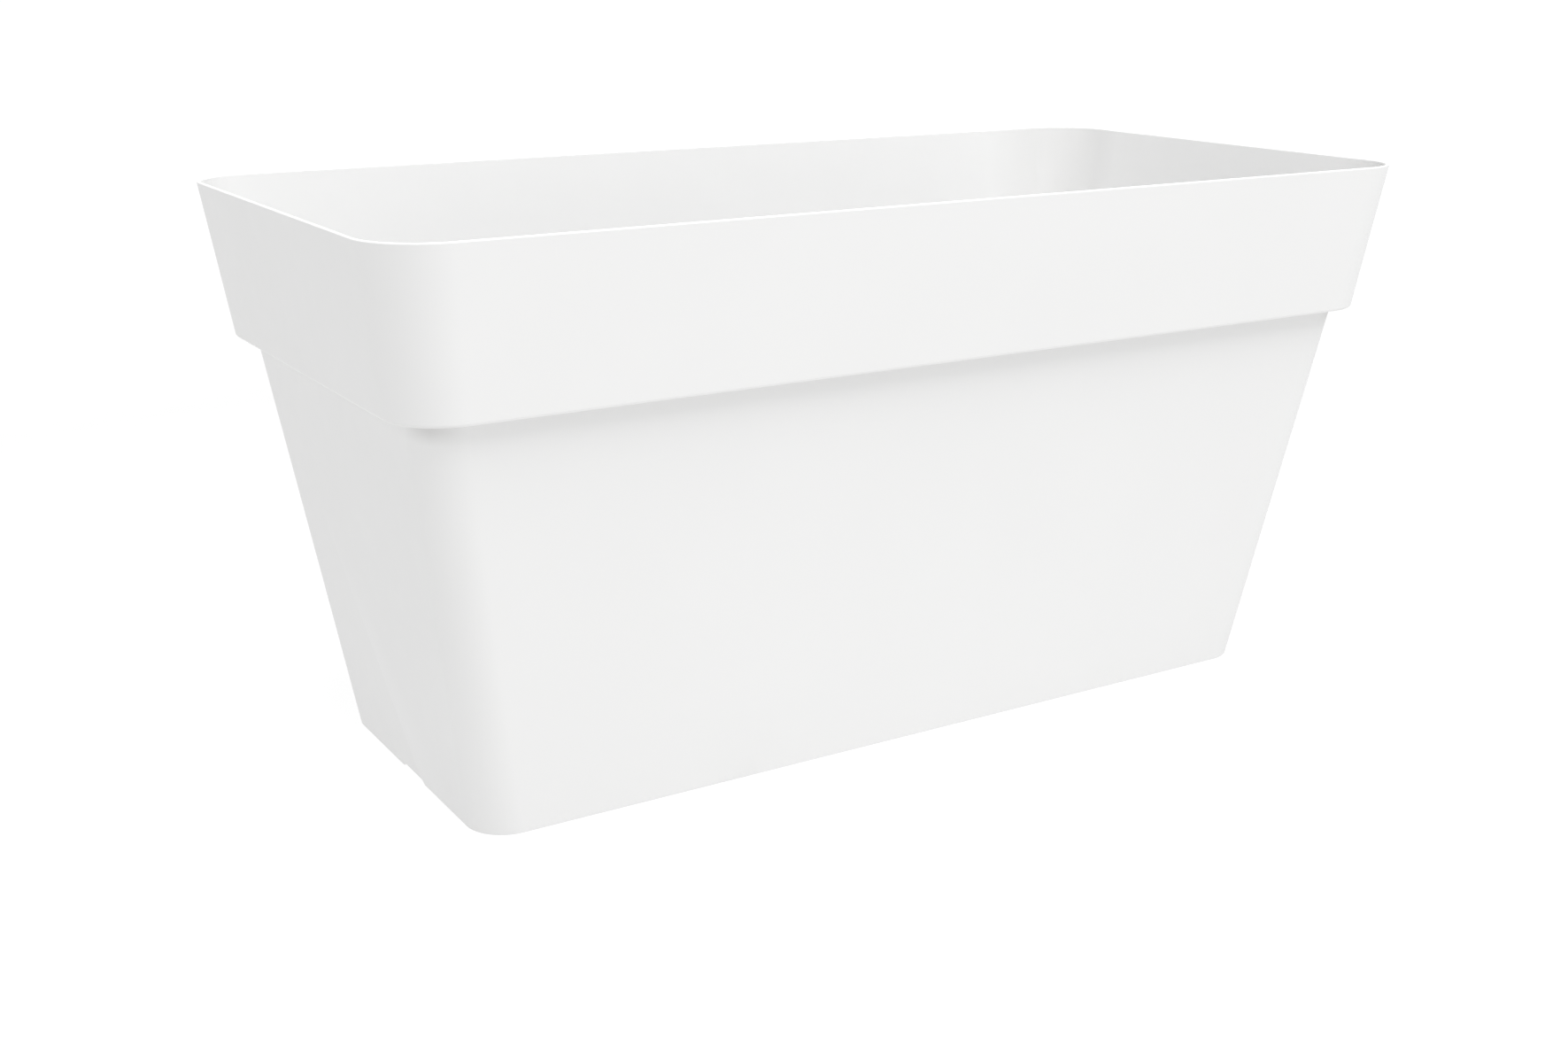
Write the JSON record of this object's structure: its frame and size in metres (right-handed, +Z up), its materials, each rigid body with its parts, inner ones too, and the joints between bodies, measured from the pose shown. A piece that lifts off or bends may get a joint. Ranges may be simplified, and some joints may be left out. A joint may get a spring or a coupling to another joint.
{
  "type": "self watering planter",
  "caption": "Tapered rectangular trough planter with a stepped rim band and a lift-out separator floor that holds wick baskets, a filling tube and a float gauge over a water reservoir.",
  "frame": {"origin": "centre of the base, on the ground", "axes": "+X along the trough, +Y towards the back long side, +Z up; the filling tube is in the -X -Y corner and the gauge in the +X -Y corner"},
  "size_m": [0.8, 0.395, 0.394],
  "materials": {
    "tub": "satin white",
    "separator": "satin grey",
    "fitting": "satin dark grey",
    "tube": "satin grey",
    "flap": "satin light grey",
    "hinge_pin": "drawn wire",
    "gauge_window": "clear",
    "gauge_scale": "white with coloured bands",
    "gauge_float": "closed-cell foam",
    "gauge_marker": "gloss red",
    "overflow_plug": "satin blue",
    "plug_seal": "matt black"
  },
  "bodies": {
    "planter": {"planter_tub": "tub"},
    "insert": {"separator_left": "separator", "separator_right": "separator", "joining_clip_front": "fitting", "joining_clip_back": "fitting", "wick_basket_1": "fitting", "wick_basket_2": "fitting", "wick_basket_3": "fitting", "wick_basket_4": "fitting", "support_leg_1": "fitting", "support_leg_2": "fitting", "support_leg_3": "fitting", "support_leg_4": "fitting", "support_leg_5": "fitting", "support_leg_6": "fitting", "support_leg_7": "fitting", "support_leg_8": "fitting", "filling_tube": "tube", "filling_collar": "tube", "flap_hinge_pin": "hinge_pin", "gauge_tube": "tube", "gauge_window": "gauge_window", "gauge_scale": "gauge_scale"},
    "flap": {"filling_flap": "flap"},
    "float": {"gauge_float": "gauge_float", "gauge_stem": "gauge_scale", "gauge_marker": "gauge_marker"},
    "plug_left": {"overflow_plug_left": "overflow_plug", "plug_seal_left": "plug_seal"},
    "plug_right": {"overflow_plug_right": "overflow_plug", "plug_seal_right": "plug_seal"}
  },
  "joints": [
    {"name": "insert_lift", "type": "slide", "parent": "planter", "child": "insert", "axis": [0, 0, 1], "range_m": [0, 0.4]},
    {"name": "flap_hinge", "type": "hinge", "parent": "insert", "child": "flap", "pos_m": [-0.29, -0.1355, 0.354], "axis": [1, 0, 0], "range_deg": [0, 105]},
    {"name": "float_rise", "type": "slide", "parent": "insert", "child": "float", "axis": [0, 0, 1], "range_m": [0, 0.032]},
    {"name": "plug_left_pull", "type": "slide", "parent": "planter", "child": "plug_left", "axis": [0, 0, -1], "range_m": [0, 0.038]},
    {"name": "plug_right_pull", "type": "slide", "parent": "planter", "child": "plug_right", "axis": [0, 0, -1], "range_m": [0, 0.038]}
  ]
}
